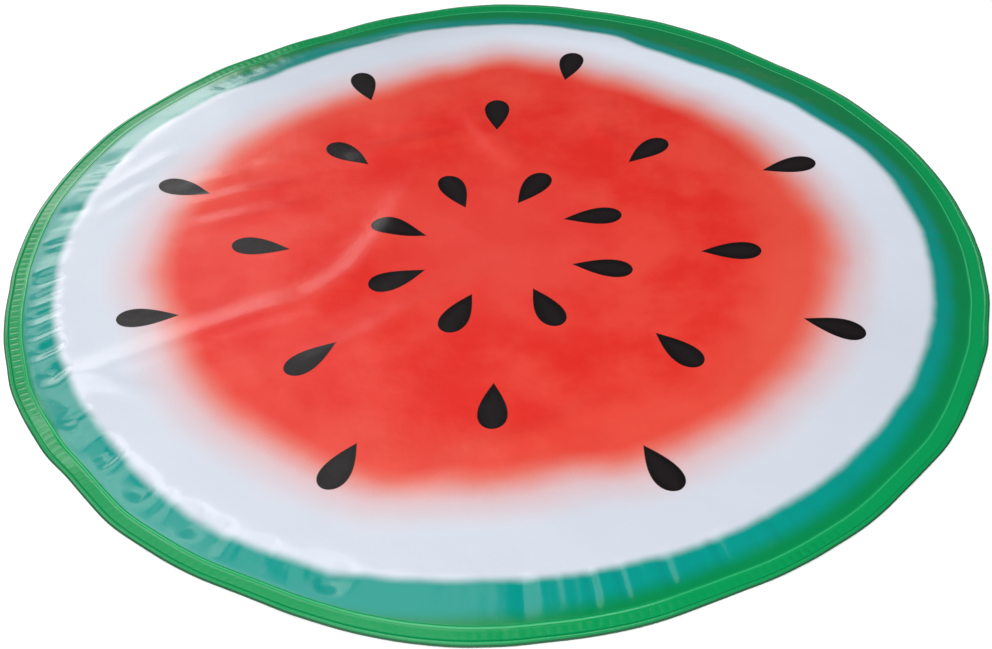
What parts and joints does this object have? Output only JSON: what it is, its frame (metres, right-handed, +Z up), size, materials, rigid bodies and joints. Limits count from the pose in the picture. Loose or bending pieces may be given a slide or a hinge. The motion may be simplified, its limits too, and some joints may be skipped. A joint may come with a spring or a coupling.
{
  "type": "round gel cooling pad",
  "caption": "Round, soft, gel-filled cooling pad of coated cloth, printed like a watermelon slice and welded flat round its rim. It lies on a flat surface and cools what rests on it.",
  "frame": {"origin": "the middle of the underside, on the surface that the pad lies on", "axes": "+Z up, out of the printed side; -Y towards the front, where the viewer stands"},
  "size_m": [0.6, 0.6, 0.0082],
  "materials": {
    "green_coated_cloth": "satin coated cloth",
    "open_cell_foam": "open-cell foam",
    "cooling_gel": "clear blue gel",
    "fused_coating": "glossy, pressed",
    "white_coated_cloth": "glossy film over woven cloth",
    "rind_ink": "glossy print",
    "flesh_ink": "glossy print",
    "seed_ink": "glossy print"
  },
  "bodies": {
    "root": {"bottom_cover": "green_coated_cloth", "foam_sheet": "open_cell_foam", "gel_fill": "cooling_gel", "rim_weld": "fused_coating", "filling_gap_weld": "fused_coating", "top_cover": "white_coated_cloth", "rind_print": "rind_ink", "flesh_print": "flesh_ink", "seed_prints": "seed_ink"}
  },
  "joints": []
}
